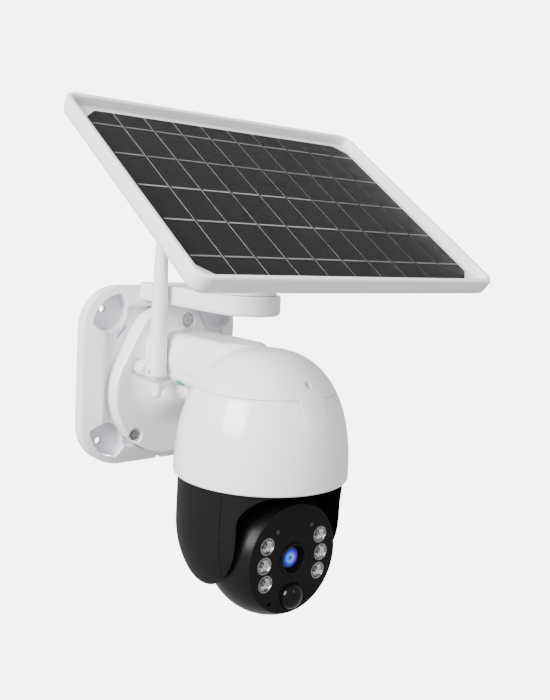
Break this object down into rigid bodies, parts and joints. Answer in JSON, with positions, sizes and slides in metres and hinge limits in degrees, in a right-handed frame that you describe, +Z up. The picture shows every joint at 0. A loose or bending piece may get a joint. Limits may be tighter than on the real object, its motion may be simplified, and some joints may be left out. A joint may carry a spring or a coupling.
{
  "type": "solar-powered security camera",
  "caption": "Outdoor dome camera on a wall arm with a turning, tilting head, a folding antenna and a tilting solar panel on a swivel.",
  "frame": {"origin": "middle of the wall plate's back face, where it meets the wall", "axes": "+Z up, +Y into the wall so the camera reaches out along -Y, +X to the camera's left as it looks out from the wall"},
  "size_m": [0.232, 0.2164, 0.3172],
  "materials": {
    "white_shell": "gloss moulded white",
    "white_mount": "satin moulded white",
    "white_tray": "satin moulded white",
    "white_antenna": "matt white",
    "grey_plastic": "matt",
    "black_shell": "fine matt grain",
    "black_gloss": "polished",
    "black_plastic": "matt",
    "rubber_seal": "matt",
    "steel": "plated",
    "motor_can": "plated",
    "brass_jack": "plated",
    "gear_plastic": "natural",
    "circuit_board": "lacquered",
    "cell_sleeve": "shrink sleeve",
    "lens_glass": "violet coated",
    "lamp_clear": "clear",
    "lamp_chip": "phosphor",
    "sensor_dome": "smoked",
    "solar_black": "dark silicon",
    "ribbon_silver": "tinned",
    "panel_glass": "clear tempered",
    "green_sticker": "printed film"
  },
  "bodies": {
    "wall_side": {"wall_plate": "white_mount", "plate_gasket": "rubber_seal", "arm_housing": "white_shell", "flange_screws": "steel", "dome_skirt": "white_shell", "skirt_screws": "steel", "button_spring": "steel", "pan_bulkhead": "grey_plastic", "bulkhead_screws": "steel", "pan_bearing": "steel", "pan_motor": "motor_can", "main_board": "circuit_board", "battery_cells": "cell_sleeve", "battery_tray": "black_plastic", "speaker": "grey_plastic", "antenna_jack": "brass_jack", "antenna_nut": "steel", "panel_arm": "white_mount", "panel_arm_screws": "steel", "check_sticker": "green_sticker"},
    "button": {"power_button": "black_plastic"},
    "pinion": {"pan_pinion": "gear_plastic"},
    "turret": {"pan_gear": "gear_plastic", "spindle_ring": "steel", "yoke": "black_shell", "ear_covers": "black_shell", "tilt_drive_hub": "steel", "tilt_pivot_pin": "steel"},
    "head": {"head_front_shell": "black_shell", "head_rear_shell": "black_shell", "tilt_motor": "motor_can", "tilt_bush": "gear_plastic", "face_plate": "black_gloss", "lens_barrel": "black_plastic", "lens_glass": "lens_glass", "image_board": "circuit_board", "lamp_board": "circuit_board", "lamp_emitters": "lamp_chip", "lamp_lenses": "lamp_clear", "motion_sensor": "steel", "motion_lens": "sensor_dome", "light_sensors": "sensor_dome", "microphone": "steel"},
    "antenna_base": {"antenna_elbow": "grey_plastic", "antenna_pin": "steel"},
    "antenna": {"antenna_rod": "white_antenna"},
    "panel_swivel": {"swivel_yoke": "white_mount", "swivel_bolt": "steel", "hinge_bolt": "steel", "hinge_nut": "black_plastic"},
    "solar_panel": {"panel_bracket": "white_mount", "bracket_screws": "steel", "panel_tray": "white_tray", "panel_back_sheet": "white_tray", "solar_cells": "solar_black", "cell_ribbons": "ribbon_silver", "panel_glass": "panel_glass", "junction_box": "black_plastic"}
  },
  "joints": [
    {"name": "head_pan", "type": "hinge", "parent": "wall_side", "child": "turret", "pos_m": [0, -0.1312, 0], "axis": [0, 0, 1], "range_deg": [-175, 175]},
    {"name": "pinion_spin", "type": "hinge", "parent": "wall_side", "child": "pinion", "pos_m": [0, -0.1052, 0], "axis": [0, 0, 1], "range_deg": [-393.75, 393.75]},
    {"name": "head_tilt", "type": "hinge", "parent": "turret", "child": "head", "pos_m": [0, -0.1455, -0.092], "axis": [1, 0, 0], "range_deg": [-15, 90]},
    {"name": "button_press", "type": "slide", "parent": "wall_side", "child": "button", "axis": [0, 0, 1], "range_m": [0, 0.001], "stiffness_N_per_m": 1500, "springref_m": -0.0003},
    {"name": "antenna_swivel", "type": "hinge", "parent": "wall_side", "child": "antenna_base", "pos_m": [-0.03, -0.05, 0.009], "axis": [0, -1, 0], "range_deg": [0, 90]},
    {"name": "antenna_fold", "type": "hinge", "parent": "antenna_base", "child": "antenna", "pos_m": [-0.03, -0.05, 0.009], "axis": [1, 0, 0], "range_deg": [0, 50]},
    {"name": "panel_turn", "type": "hinge", "parent": "wall_side", "child": "panel_swivel", "pos_m": [0, -0.106, 0], "axis": [0, 0, 1], "range_deg": [-20, 20]},
    {"name": "panel_tilt", "type": "hinge", "parent": "panel_swivel", "child": "solar_panel", "pos_m": [0, -0.106, 0.116], "axis": [1, 0, 0], "range_deg": [-30, 20]}
  ],
  "couplings": [
    {"joint": "pinion_spin", "follows": "head_pan", "ratio": -2.25}
  ]
}
